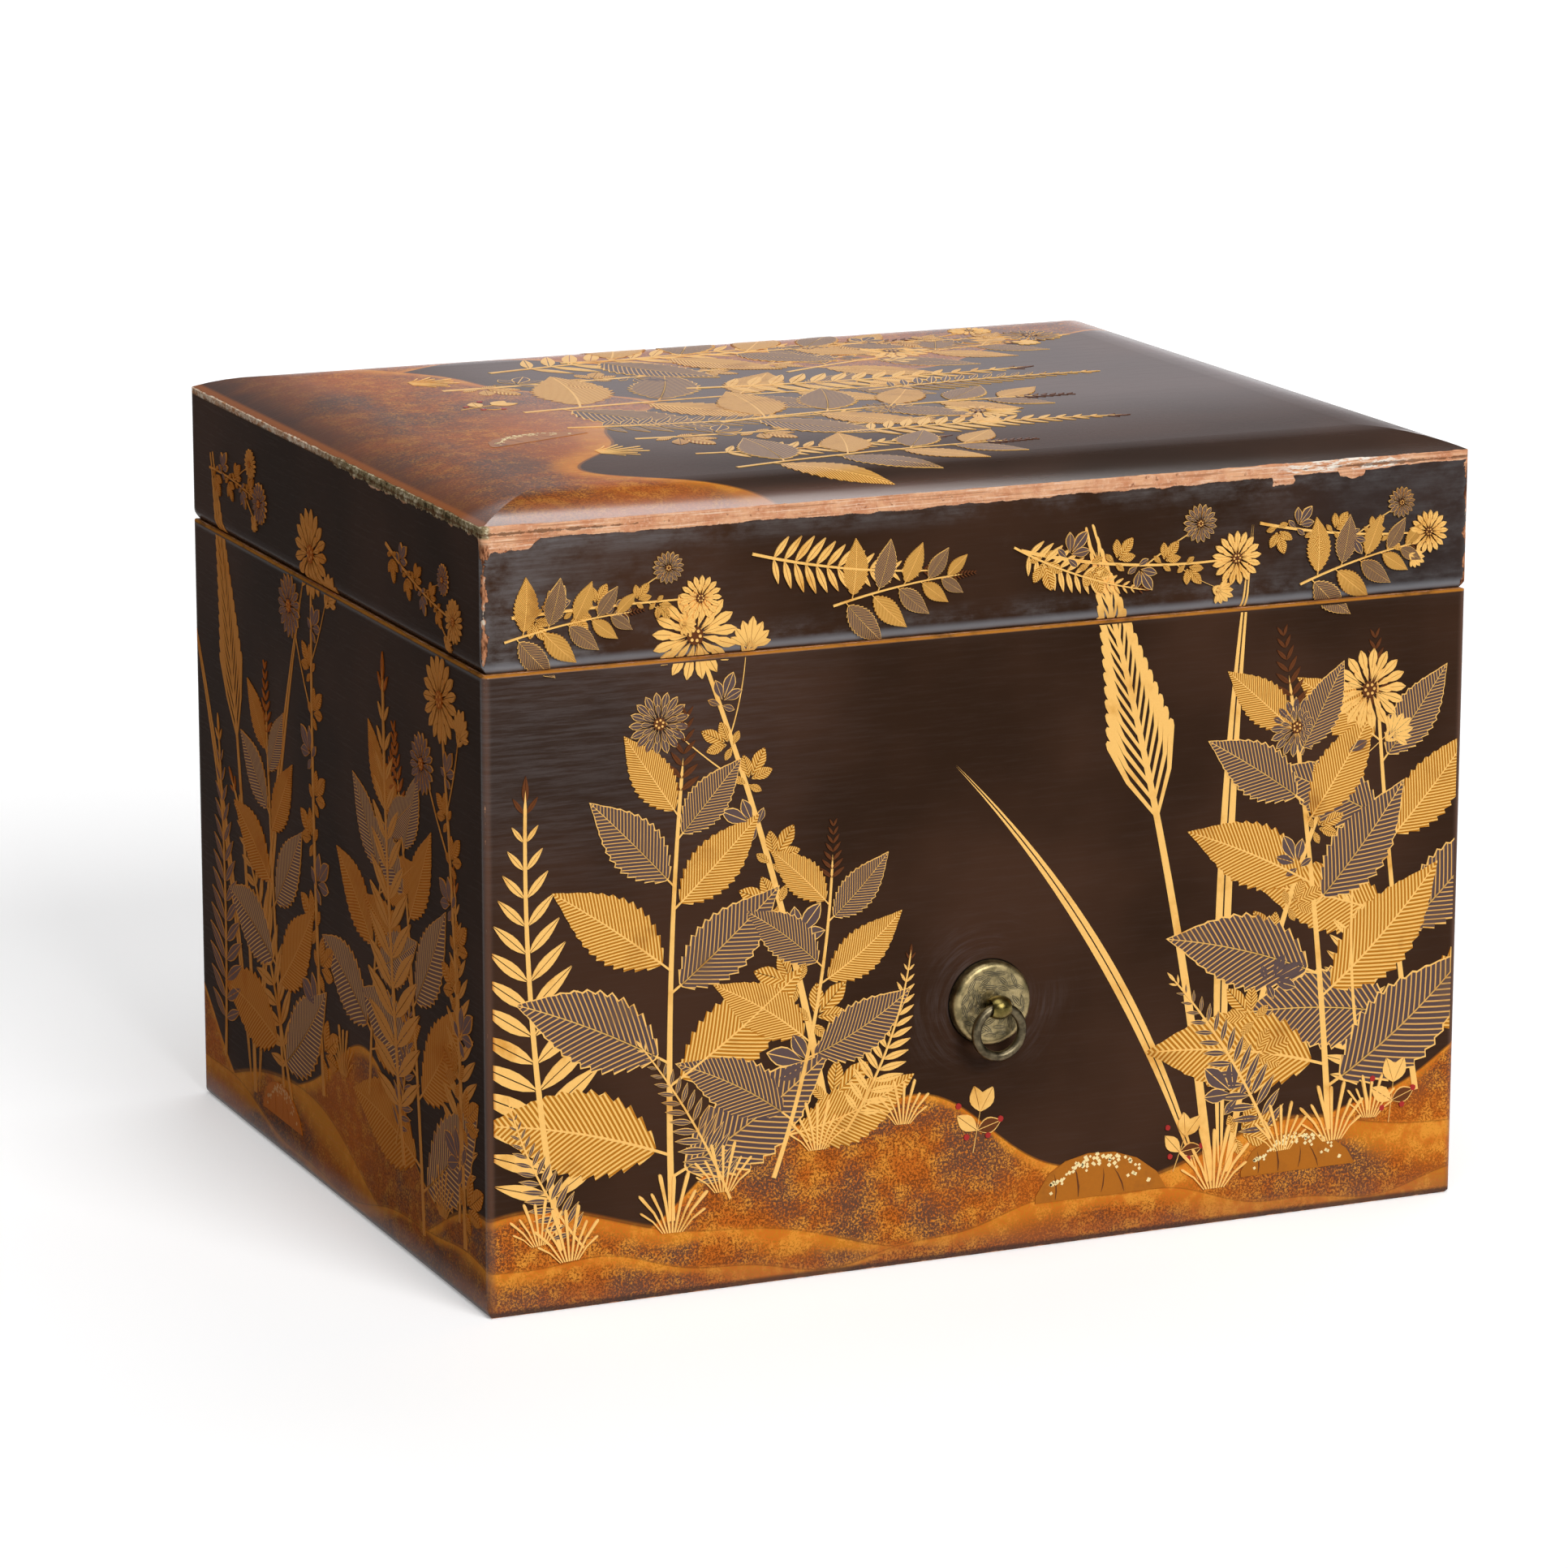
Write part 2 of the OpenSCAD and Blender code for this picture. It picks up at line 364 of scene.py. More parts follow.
circling = place.nodes.vector(from_plate * 12.0, x, z).noise(75, 4, 0.7)
circled = from_plate.ease(0.018, 0.0) * circling.ease(0.4, 0.7) * place.noise(55, 3).ease(0.42, 0.66)
tone = mix(circled * 0.3, tone, (100, 90, 88))
# painted shade: a thin dark ring on the lacquer round each ring plate's edge
tone = mix(from_plate.ease(0.0005, 0.0002), tone, (20, 15, 12))
# greyer streaks over the upper left of the front face
upper_left_grey = x.ease(-0.02, -0.13) * z.ease(0.09, 0.15) * side_share(y + half_d)
tone = mix(upper_left_grey * (film["Streak"] * 0.26 + 0.08), tone, (104, 98, 98))
below_rim = joint_z - z
rubbed = place.noise(120, 4, 0.6).ease(0.3, 0.5)
tone = mix(below_rim.ease(0.0009, 0.0005) * (rubbed * 0.5 + 0.4), tone, (180, 116, 42))
below_rim = below_rim + nearest.ease(0.001, 0.0016)
worn = largest(worn_edge(place, corner, 0.0002, 2.4),
               worn_edge(place, z, 0.0002, 2.6),
               worn_edge(place, below_rim, 0.00006, 2.4))
polish = largest(z.ease(0.009, 0.001) * 0.4,
                 corner.ease(0.0025, 0.0008) * 0.5,
                 below_rim.ease(0.002, 0.001) * 0.15)
finish_lacquer(shader, film, ground, tone, worn * (1.0 - inside), polish)
coat(body_lacquer, "bottom_board", *[f"body_{side}_board" for side in SIDES])

# Lip: four thin strips glued inside the lower box, which stand above its rim and centre the lid.
# Wood with gold powder in lacquer, rubbed brown where the lid slides over it.
gilded_lip, place, shader = new_material("gilded_lip", Metallic=0.35)
rub = place.streaks((60, 60, 400), 5, 0.6)
shader["Base Color"] = mix(rub.ease(0.4, 0.7), (206, 140, 54), (120, 68, 26))
shader["Roughness"] = rub * 0.3 + 0.25
coat(gilded_lip, *[f"lip_{side}_strip" for side in SIDES])

# Lid: a top board with rounded borders on four side boards, lacquered as one with the lower box.
# The seam of the top board has opened, and along it the lacquer has broken away down to the clay ground.
lid_top_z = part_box("lid_top_board")[1].z
edge_height = 0.0016
ridge_z = seam_z + edge_height


def seam_wear(place, distance):
    """Where the lacquer is gone along the lid's upper edge: a broad band on the front with deeper chips at
    its ends, a crumbled one on the left that fades to the back, and thin ones elsewhere."""
    x, y, z = place.split()
    front = side_share(y + half_d)
    left = side_share(x + half_w)
    swing = place.noise(30) * 0.0022 + 0.0006 + x.ease(0.12, 0.02) * 0.0008
    left_chip = x.ease(-0.122, -0.126) * 0.0024
    right_chips = place.noise(95).ease(0.53, 0.63) * x.ease(0.04, 0.07) * 0.0022
    crumbled = left * y.ease(0.03, -0.04) * 0.0017
    width = front * (swing + left_chip + right_chips) + crumbled + 0.001
    return worn_edge(place, distance, width, front * -0.36 + 0.5), front, left


def seam_crack(place):
    """The dark crumbled line of the opened seam, which shows near the lid's corners."""
    x, y, z = place.split()
    crumble = place.noise(300, 6, 0.7) * 0.0026 - 0.0019 + abs(x).ease(0.06, 0.12) * 0.0009
    return (abs(z - seam_z) - crumble).ease(0.0001, -0.0001)


def band_tone(place, ground, left):
    """Colour of the bared band: clay with the seam's dark line, and crumbled grey filler on the left."""
    x, y, z = place.split()
    crumbs = place.noise(520, 5, 0.7)
    grey = mix(crumbs.ease(0.4, 0.48), (72, 62, 44), (146, 128, 94))
    grey = mix(crumbs.ease(0.53, 0.6), grey, (208, 194, 162))
    pale = mix(crumbs.ease(0.4, 0.6), (178, 126, 88), (232, 214, 190))
    filler = mix(y.ease(0.025, -0.02), pale, grey)
    layers = place.streaks((45, 45, 1700), 4, 0.7)
    clay = mix(layers.ease(0.53, 0.62) * 0.6, ground["Color"], (158, 102, 70))
    clay = mix(layers.ease(0.44, 0.36) * 0.6, clay, (246, 222, 196))
    upper = z.ease(seam_z - 0.0014, seam_z - 0.0006)
    fibres = place.streaks((160, 160, 900), 4, 0.7).ease(0.48, 0.56)
    fibres = fibres * abs(x - 0.1).ease(0.022, 0.012)
    clay = mix(fibres * upper, clay, (240, 230, 216))
    tone = mix(left * upper, clay, filler)
    return mix(seam_crack(place) * 0.75, tone, (96, 62, 40))


lid_lacquer, place, shader = new_material("lid_lacquer", **lacquer_shine)
x, y, z = place.split()
corner, nearest = edge_distances(place)
film = place.group("rubbed_lacquer", Strokes=side_strokes)
ground = place.group("bared_ground")
below_ridge = ridge_z - z
above_joint = z - joint_z
band, front, left = seam_wear(place, below_ridge)
handled = largest(corner.ease(0.03, 0.0), below_ridge.ease(0.01, 0.004), above_joint.ease(0.01, 0.003))
handled = handled + x.ease(-0.05, -0.13) * 0.7 + x.ease(0.03, 0.1) * 0.6
smear = place.streaks((60, 60, 110), 7, 0.7).ease(0.38, 0.66) * (film["Streak"] * 0.5 + 0.5) * front
tone = mix(handled * smear * 0.45, film["Color"], (116, 112, 112))
# painted reflection: a grey veil over the right end of the lid's front
tone = mix(x.ease(0.06, 0.12) * front * 0.55, tone, (52, 49, 50))
# painted highlight: a pale bluish band along the rounded lower edge of the lid's front
rounded = above_joint.ease(0.0036, 0.0016) * above_joint.ease(0.0004, 0.001)
tone = mix(rounded * front * 0.5, tone, (150, 152, 158))
inside = behind_skin(nearest)
tone = mix(inside, tone, place.group("flecked_inside")["Color"])
seat = nearest.ease(0.0022, 0.003)
tone = mix(seat * above_joint.ease(0.0003, 0.0001), tone, (150, 96, 40))
worn_corner = x.ease(0.0, -0.1) * y.ease(0.0, -0.1)
far_corner = x.ease(0.1, 0.13) * y.ease(0.0, -0.1)
corner_width = worn_corner * 0.0006 + far_corner * 0.0007 + 0.0003
worn = largest(band, worn_edge(place, corner, corner_width, 1.7),
               worn_edge(place, above_joint + seat, 0.00006, 2.4))
splits = place.streaks((500, 500, 160), 4, 0.7)
splintered = mix(splits.ease(0.42, 0.56), (92, 54, 36), (198, 136, 98))
splintered = mix(splits.ease(0.58, 0.66), splintered, (232, 216, 194))
at_corner = corner.ease(0.0022, 0.0016) * below_ridge.ease(0.003, 0.005)
bared_tone = mix(at_corner, band_tone(place, ground, left), splintered)
bared = {"Color": bared_tone, "Height": ground["Height"]}
polish = largest(above_joint.ease(0.0026, 0.0012) * (front * 0.55 + 0.15),
                 corner.ease(0.0025, 0.0008) * 0.5)
finish_lacquer(shader, film, bared, tone, worn * (1.0 - inside), polish)
coat(lid_lacquer, *[f"lid_{side}_board" for side in SIDES])

top_lacquer, place, shader = new_material("top_lacquer", **lacquer_shine)
x, y, z = place.split()
corner, ridge = edge_distances(place)
film = place.group("rubbed_lacquer", Strokes=(60, 1000, 60))
ground = place.group("bared_ground")
left_bank = wave_height(place, -0.068, [(0.022, 50, 0.16, 60), (0.006, 50, 0.06, 0)]) - x
far_bank = y - wave_height(place, 0.066, [(0.026, 0.22, 50, 200), (0.005, 0.07, 50, 20)])
tone = lay_banks(place, [(far_bank, 0.003), (left_bank, 0.008)], film["Color"])
warm_border = ridge.ease(0.012, 0.0004) * x.ease(0.03, -0.05)
tone = mix(warm_border * 0.6, tone, (112, 62, 34))
from_left = x + half_w
# darker towards the top's left edge, in patches, and more so towards the back
left_edge_dark = (from_left + place.noise(60, 3) * -0.014).ease(0.005, -0.005)
tone = mix(left_edge_dark * (y.ease(-0.03, 0.05) * 0.5 + 0.35), tone, (60, 40, 30))
tone = mix(from_left.ease(0.0028, 0.0016) * 0.75, tone, (158, 88, 32))
under = z.ease(seam_z + 0.0003, seam_z + 0.0001) * ridge.ease(0.0003, 0.0009)
inside = under * behind_skin(ridge)
tone = mix(inside, tone, place.group("flecked_inside")["Color"])
band, front, left = seam_wear(place, largest(ridge_z - z, ridge * 7.0))
worn = largest(band, worn_edge(place, ridge, 0.0004, 1.3)) * (1.0 - under)
bared = {"Color": band_tone(place, ground, left), "Height": ground["Height"]}
front_border = (y + half_d).ease(0.018, 0.008)
field = x.ease(-0.11, -0.05) * y.ease(-0.085, -0.01)
finish_lacquer(shader, film, bared, tone, worn, front_border * 0.72 + field * 0.38 + 0.2)
coat(top_lacquer, "lid_top_board")

# Cord ring fittings, one on each long side: a turned brass plate, a round-headed split post, a bronze ring.
# The post's legs go through the board and are bent flat over a washer inside.


def aged_metal(name, dull, bright, polish):
    """Aged brass or bronze: mottled patina with finely rubbed brighter places."""
    material, place, shader = new_material(name, Metallic=1.0)
    patina = place.noise(300, 6, 0.65)
    tone = mix(patina.ease(0.32, 0.68), dull, bright)
    shader["Base Color"] = tone
    shader["Roughness"] = patina * 0.35 + polish
    return material, place, shader, tone


plate_brass, place, shader, tone = aged_metal("plate_brass", (112, 101, 71), (180, 161, 116), 0.24)
x, y, z = place.split()
hollows = place.noise(520, 4, 0.7).ease(0.46, 0.62)
hollows = hollows * from_axis(x, z).ease(plate_r - 0.0013, plate_r - 0.0022)
shader["Base Color"] = mix(hollows * 0.18, tone, (104, 102, 96))
bump(shader, hollows, 0.00004)
post_brass = aged_metal("post_brass", (84, 74, 38), (146, 130, 76), 0.14)[0]
ring_bronze = aged_metal("ring_bronze", (66, 58, 44), (124, 113, 88), 0.2)[0]
for side in ("front", "back"):
    coat(plate_brass, f"{side}_ring_plate")
    coat(post_brass, f"{side}_ring_washer")
    coat(ring_bronze, f"{side}_ring")

# Split posts: a round bead with a flared eye for the ring, on a short neck above the post's shank and legs.
# The bead is turned about its eye, and the shank and legs keep the form that goes through the board.
bead_r, bead_half, bead_mouth = 0.0031, 0.0038, 0.00255
flare_centre, flare_r = 0.00645, 0.0049
bead_steps, bead_turns = 14, 40
neck_start, neck_end, neck_taper = 0.0003, 0.0013, 0.83
weld, cut_tolerance = 1e-6, 1e-7
eye = Vector((0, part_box("front_ring_post")[0].y + bead_r, fitting_z))
stations = [bead_mouth * (2 * step / bead_steps - 1) for step in range(bead_steps + 1)]
bead_section = [(along, bead_r * sqrt(1 - (along / bead_half) ** 2)) for along in stations]
bead_section += [(along, flare_centre - sqrt(flare_r ** 2 - along ** 2)) for along in stations[-2:0:-1]]

bpy.ops.object.select_all(action="DESELECT")
bpy.ops.mesh.primitive_circle_add(vertices=len(bead_section), radius=bead_r, fill_type="NOTHING")
bead = bpy.context.object
for vertex, (along, out) in zip(bead.data.vertices, bead_section):
    vertex.co = eye + Vector((along, -out, 0))
bpy.ops.object.mode_set(mode="EDIT")
bpy.ops.mesh.select_all(action="SELECT")
bpy.ops.mesh.spin(steps=bead_turns, angle=radians(360), center=eye, axis=(1, 0, 0))
bpy.ops.mesh.select_all(action="SELECT")
bpy.ops.mesh.remove_doubles(threshold=weld)
bpy.ops.mesh.normals_make_consistent(inside=False)
bpy.ops.object.mode_set(mode="OBJECT")
bead.data.materials.append(post_brass)

shank = bpy.data.objects.new("shank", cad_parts["front_ring_post"].data.copy())
bpy.context.collection.objects.link(shank)
shank.data.materials.clear()
shank.data.materials.append(post_brass)
bpy.ops.object.select_all(action="DESELECT")
shank.select_set(True)
bpy.context.view_layer.objects.active = shank
bpy.ops.object.mode_set(mode="EDIT")
bpy.ops.mesh.select_all(action="SELECT")
bpy.ops.mesh.remove_doubles(threshold=weld)
bpy.ops.mesh.bisect(plane_co=(0, plate_low.y - neck_start, 0), plane_no=(0, -1, 0),
                    threshold=cut_tolerance, clear_outer=True)
bpy.ops.mesh.extrude_region_move(TRANSFORM_OT_translate={"value": (0, neck_start - neck_end, 0)})
bpy.ops.transform.resize(value=(neck_taper, 1, neck_taper),
                         center_override=(0, plate_low.y - neck_end, fitting_z))
bpy.ops.object.mode_set(mode="OBJECT")

bead.select_set(True)
bpy.context.view_layer.objects.active = bead
bpy.ops.object.join()
bpy.ops.object.shade_smooth_by_angle(angle=radians(40))
for side in ("front", "back"):
    post = bead.copy()
    post.data = bead.data.copy()
    post.name = f"{side}_split_post"
    bpy.context.collection.objects.link(post)
    if side == "back":
        post.data.transform(Matrix.Rotation(radians(180), 4, "Z"))
    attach(post, "body")
    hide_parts(f"{side}_ring_post")
bpy.data.objects.remove(bead)

# Raised gold decoration: plants of the autumn field in gold powder, built up a little above the lacquer.
# Each motif is drawn once, flat and lying along +X; copies of it are curved, turned and laid on the faces.
mm = 0.001
cm = 0.01
relief = 0.1
layer_step = 0.0131
sheet_depth = 0.45
overlap_step = 0.0037

# Fine lines drawn into gold or dust, slanting forwards from a leaf's rib, from the leaf's own lengths in cm
given, result = new_group("leaf_lines", {"Spacing": "Float", "Share": "Float"}, {"Line": "Float"})
along, across, level = given.nodes.add("UVMap", uv_map="drawn")[0].split()
wave = given.nodes.math("PINGPONG", (along - across) / given["Spacing"], 0.5)
result["Line"] = wave.ease(given["Share"], given["Share"] + 0.12)


def gold_material(name, bright, rubbed, metallic, lines=None, left_shade=0.72):
    """Metal powder in lacquer: satin, with fine grain, thinner where rubbed, darkened to brown on the left
    end as painted shade, and with drawn lines of (colour, spacing, share of ground between them)."""
    material, place, shader = new_material(name, Metallic=metallic, **lacquer_shine)
    cloud = place.noise(70, 4, 0.6)
    powder = place.noise(2400, 1)
    thin = powder * 0.2 + cloud.ease(0.52, 0.8)
    tone = mix(thin, bright, rubbed)
    height = powder + cloud
    if lines:
        colour, spacing, share = lines
        drawn = place.nodes.group("leaf_lines", Spacing=spacing, Share=share)["Line"]
        tone = mix(drawn, tone, mix(thin * 0.6, colour, rubbed))
        height = drawn * 2.5 + height
    x, y, z = place.split()
    # painted shade: the gold on the left end is mixed towards a dark brown
    shader["Base Color"] = mix(side_share(x + half_w) * left_shade, tone, (174, 88, 14))
    shader["Roughness"] = powder * 0.25 + 0.42
    shader["Coat Weight"] = z.ease(ridge_z, ridge_z + 3 * mm) * 0.45
    bump(shader, height, 0.03 * mm)
    return material


raised_gold = gold_material("raised_gold", (252, 200, 115), (216, 150, 62), 0.05)
veined_gold = gold_material("veined_gold", (188, 120, 36), (156, 94, 30), 0.05,
                            ((250, 200, 112), 0.12, 0.2))
brown_gold = gold_material("brown_gold", (106, 62, 36), (78, 46, 30), 0.1)
dusted_silver = gold_material("dusted_silver", (92, 76, 76), (122, 92, 68), 0.1, left_shade=0.1)
veined_silver = gold_material("veined_silver", (88, 72, 72), (110, 86, 70), 0.1,
                              ((230, 174, 98), 0.15, 0.3), 0.15)
berry_red = gold_material("berry_red", (176, 54, 50), (138, 40, 38), 0.0)
flake_gold = gold_material("flake_gold", (246, 226, 168), (222, 182, 106), 0.15)
rock_gold = gold_material("rock_gold", (178, 108, 36), (124, 74, 38), 0.2)


def modify(piece, kind, **settings):
    """Adds a modifier to a piece and applies it."""
    added = piece.modifiers.new(kind, kind)
    for name, value in settings.items():
        setattr(added, name, value)
    bpy.context.view_layer.objects.active = piece
    bpy.ops.object.modifier_apply(modifier=added.name)


def draw_blade(material, stations, rib=0.0, mirrored=True):
    """A flat leaf, petal or stroke: an edge beside its rib is pulled out through stations of (distance,
    half width) in mm, drawn together at the tip, and mirrored over the rib."""
    bpy.ops.object.select_all(action="DESELECT")
    bpy.ops.mesh.primitive_plane_add(size=1)
    blade = bpy.context.object
    (start, start_width), (end, end_width) = stations[:2]
    for vertex in blade.data.vertices:
        x, width = (end, end_width) if vertex.co.x > 0 else (start, start_width)
        y = rib / 2 + (width if vertex.co.y > 0 else 0)
        vertex.co = (x * mm, y * mm, 0)
    bpy.ops.object.mode_set(mode="EDIT")
    bpy.ops.mesh.select_all(action="DESELECT")
    bpy.ops.object.mode_set(mode="OBJECT")
    for vertex in blade.data.vertices:
        vertex.select = vertex.co.x > (start + end) / 2 * mm
    bpy.ops.object.mode_set(mode="EDIT")
    for (x, width), (next_x, next_width) in zip(stations[1:], stations[2:]):
        bpy.ops.mesh.extrude_region_move(TRANSFORM_OT_translate={"value": ((next_x - x) * mm, 0, 0)})
        narrowing = max(next_width, 0.001) / width
        bpy.ops.transform.resize(value=(1, narrowing, 1), center_override=(next_x * mm, rib / 2 * mm, 0))
    bpy.ops.mesh.merge(type="CENTER")
    bpy.ops.object.mode_set(mode="OBJECT")
    if mirrored:
        modify(blade, "MIRROR", use_axis=(False, True, False), merge_threshold=0.01 * mm)
    drawn = blade.data.uv_layers[0]
    drawn.name = "drawn"
    for loop in blade.data.loops:
        x, y, z = blade.data.vertices[loop.vertex_index].co
        drawn.data[loop.index].uv = (x / cm, abs(y) / cm)
    blade.data.materials.append(material)
    return blade


def lens(length, half_width, steps, fullest=1.0):
    """Stations of a leaf that swells and closes; fullest above 1 puts the swell nearer the tip."""
    shares = [(step + 0.12) / (steps + 0.12) for step in range(steps)]
    return [(length * t, half_width * sin(pi * t ** fullest)) for t in shares] + [(length, 0)]


def toothed(stations, depth=0.13):
    """The same leaf with teeth that point forwards: each station is followed by a notch."""
    cut = stations[:1]
    for (start, width), (end, end_width) in zip(stations, stations[1:-1]):
        cut += [(end - 0.25 * (end - start), end_width), (end, end_width * (1 - depth))]
    return cut + stations[-1:]


def stamp(motif, x=0.0, y=0.0, turn=0.0, size=1.0, curl=0.0, lift=0.0, flip=1):
    """A copy of a motif with a mesh of its own, curved to one side, then sized, turned and moved, in mm."""
    piece = motif.copy()
    piece.data = motif.data.copy()
    bpy.context.collection.objects.link(piece)
    if curl:
        modify(piece, "SIMPLE_DEFORM", deform_method="BEND", deform_axis="Z", angle=radians(curl))
    scale = Matrix.Diagonal((size, size * flip, 1, 1))
    spot = Matrix.Translation((x * mm, y * mm, lift * mm))
    piece.data.transform(spot @ Matrix.Rotation(radians(turn), 4, "Z") @ scale)
    if flip < 0:
        piece.data.flip_normals()
    return piece


def join(pieces):
    """Joins pieces into the first, each a hair above the one before so that none share a surface."""
    bpy.ops.object.select_all(action="DESELECT")
    for order, piece in enumerate(pieces):
        piece.data.transform(Matrix.Translation((0, 0, order % 3 * overlap_step * mm)))
        piece.select_set(True)
    bpy.context.view_layer.objects.active = pieces[0]
    bpy.ops.object.join()
    return pieces[0]


def dusted(length, half_width, steps, outline=0.32, rib=0.3, fullest=1.0, fill=None, shape=list):
    """A leaf of grey dust inside a gold outline with a gold rib."""
    edge = draw_blade(raised_gold, shape(lens(length, half_width, steps, fullest)))
    inside = shape(lens(length - 2.4 * outline, half_width - outline - rib / 2, steps, fullest))
    middle = draw_blade(fill or dusted_silver, inside, rib)
    return join([edge, stamp_and_drop(middle, x=outline, lift=0.03)])


def drop(*drawings):
    """Removes drawings that are no longer needed."""
    for drawing in drawings:
        bpy.data.objects.remove(drawing)


def stamp_and_drop(motif, **place):
    """Stamps a motif that is needed once and removes the drawing it came from."""
    piece = stamp(motif, **place)
    drop(motif)
    return piece


# Small drawings that the larger motifs are put together from
gold_leaflet = draw_blade(raised_gold, lens(10, 1.15, 6, 0.85), rib=0.16)
grey_leaflet = dusted(10, 1.3, 6, outline=0.26, rib=0.22, fullest=0.85)
brown_leaflet = draw_blade(brown_gold, lens(10, 1.2, 6, 0.85), rib=0.1)
gold_petal = draw_blade(raised_gold, lens(10, 1.45, 6, 1.9), rib=0.14)
grey_petal = dusted(10, 1.6, 6, outline=0.26, rib=0.2, fullest=1.9)
stalk_stations = [(4 * step, 0.75 - 0.016 * step) for step in range(25)]
stalk = draw_blade(raised_gold, stalk_stations + [(100, 0)])
hair = draw_blade(raised_gold, [(0, 0.16), (5, 0.24), (9.2, 0.34), (9.8, 0.26), (10, 0)])
dot_stations = [(-1, 0.45), (-0.7, 0.75), (0, 1), (0.7, 0.75), (1, 0)]
dot = draw_blade(raised_gold, dot_stations)
red_dot = draw_blade(berry_red, dot_stations)


def grow_frond(leaflet, tip, pairs=15):
    """A fern frond: a stalk with paired leaflets that shorten and lean forwards towards the tip."""
    leaves = [stamp(stalk, lift=0.05)]
    for pair in range(pairs):
        t = (pair + 0.5) / pairs
        size = 1.95 * (1 - t) ** 0.7 * min(1, 0.62 + 1.9 * t)
        for side in (1, -1):
            drawn = tip if t > 0.9 else leaflet
            leaves.append(stamp(drawn, 9 + 89 * t, side * 0.4, side * (66 - 32 * t), max(size, 0.42)))
    leaves.append(stamp(tip, 97, 0, 0, 0.6, lift=0.02))
    return join(leaves)


def open_flower(petal, count=17):
    """A daisy-like flower head: two rings of petals round a brown eye with gold dots."""
    parts = []
    for ring, (number, start, size) in enumerate(((count, 2.6, 0.88), (count - 4, 1.6, 0.56))):
        for step in range(number):
            turn = 360 * (step + ring / 2) / number
            x, y = start * cos(radians(turn)), start * sin(radians(turn))
            parts.append(stamp(petal, x, y, turn, size, lift=0.1 * ring + 0.012 * (step % 3)))
    parts.append(stamp(dot, size=2.3, lift=0.2))
    parts[-1].data.materials[0] = brown_gold
    for step in range(6):
        turn = radians(60 * step)
        parts.append(stamp(dot, 1.35 * cos(turn), 1.35 * sin(turn), size=0.42, lift=0.26))
    return join(parts)


def half_flower(petal):
    """A flower head seen from the side, on its cup."""
    parts = [stamp(petal, 0.5, 0, turn, 1.0 - abs(turn) / 260, lift=0.03 + 0.012 * (index % 2))
             for index, turn in enumerate(range(-66, 67, 22))]
    parts += [stamp(gold_leaflet, -2.2, 0, turn, 0.5, lift=0.09) for turn in (-38, 0, 38)]
    return join(parts)


def lobed_leaf(leaf):
    """A leaf cut into five lobes round one rib."""
    lobes = [(4, 0, 0, 1.15), (3, 0.4, 42, 0.92), (3, -0.4, -42, 0.92),
             (0.6, 0.3, 88, 0.62), (0.6, -0.3, -88, 0.62)]
    parts = [stamp(leaf, x, y, turn, size, lift=0.03 * (turn == 0)) for x, y, turn, size in lobes]
    return join(parts)


gold_lobe = draw_blade(veined_gold, lens(10, 2.3, 6, 1.25), rib=0.18)
grey_lobe = dusted(10, 2.4, 6, outline=0.3, rib=0.26, fullest=1.25)
gold_flower = open_flower(gold_petal)
grey_flower = open_flower(grey_petal)
gold_bud = half_flower(gold_petal)
gold_leaf = lobed_leaf(gold_lobe)
grey_leaf = lobed_leaf(grey_lobe)


def grow_spray(length, head, second, bud):
    """A flowering stem: leaves on alternate sides, one head at the end and two on side stems."""
    parts = [stamp(stalk, size=length / 100)]
    for step, along in enumerate(range(10, length - 14, 11)):
        side = 1 if step % 2 else -1
        drawn = grey_leaf if step % 3 == 1 else gold_leaf
        parts.append(stamp(drawn, along, 0, side * (62 - step * 2), 1.0 - 0.04 * step, lift=0.02))
    for side, back, reach, drawn, size in ((1, 42, 30, second, 0.72), (-1, 28, 22, bud, 0.8)):
        start = length - back
        parts.append(stamp(stalk, start, 0, side * 38, reach / 100, lift=0.01, curl=side * -14))
        parts.append(stamp(drawn, start + reach * 0.83, side * reach * 0.55, side * 28, size, lift=0.05))
    parts.append(stamp(head, length, lift=0.08))
    return join(parts)


def broad_leaf(blade):
    """A large toothed leaf with a raised rib and a short stalk."""
    return join([stamp_and_drop(blade, x=3), stamp(stalk, size=0.37, lift=0.03)])


gold_broad = broad_leaf(draw_blade(veined_gold, toothed(lens(36, 8.6, 13, 0.82))))
grey_blade = dusted(36, 8.8, 13, outline=0.4, rib=0.2, fullest=0.82, fill=veined_silver, shape=toothed)
grey_broad = broad_leaf(grey_blade)


def grow_broad(first, second, joints_along=(12, 32, 52, 70, 85)):
    """An upright plant with large leaves in pairs, and a brown-tipped flower spike at its end."""
    parts = [stamp(stalk, lift=0.03)]
    for step, along in enumerate(joints_along):
        for side in (1, -1):
            drawn = first if (step + (side > 0)) % 2 else second
            size = 1.12 - 0.14 * step
            turn = side * (66 - 7 * step)
            curl = side * (18 - 4 * step)
            parts.append(stamp(drawn, along + side * 2.5, 0, turn, size, curl, 0.02 * step, side))
    for step in range(7):
        for side in (1, -1):
            turn = side * (52 - 4 * step)
            parts.append(stamp(brown_leaflet, 93 + 2.6 * step, 0, turn, 0.5 - 0.04 * step, lift=0.06))
    return join(parts)


def grow_plume():
    """The feathery ear of a tall grass on its stem."""
    parts = [stamp(stalk)]
    for step in range(17):
        along = 58 + 2.5 * step
        for side in (1, -1):
            size = 1.5 - 0.055 * step
            parts.append(stamp(hair, along, 0, side * (34 - step), size, lift=0.02, curl=side * -26))
    return join(parts)


def grow_tuft(strokes=9):
    """A low tuft of club-tipped strokes, growing along +X."""
    parts = []
    for step in range(strokes):
        lean = (step - (strokes - 1) / 2) * 8
        size = 1.25 - abs(lean) / 60 + 0.22 * (step % 2)
        parts.append(stamp(hair, 0, (step - (strokes - 1) / 2) * 0.55, lean, size, curl=lean))
    return join(parts)


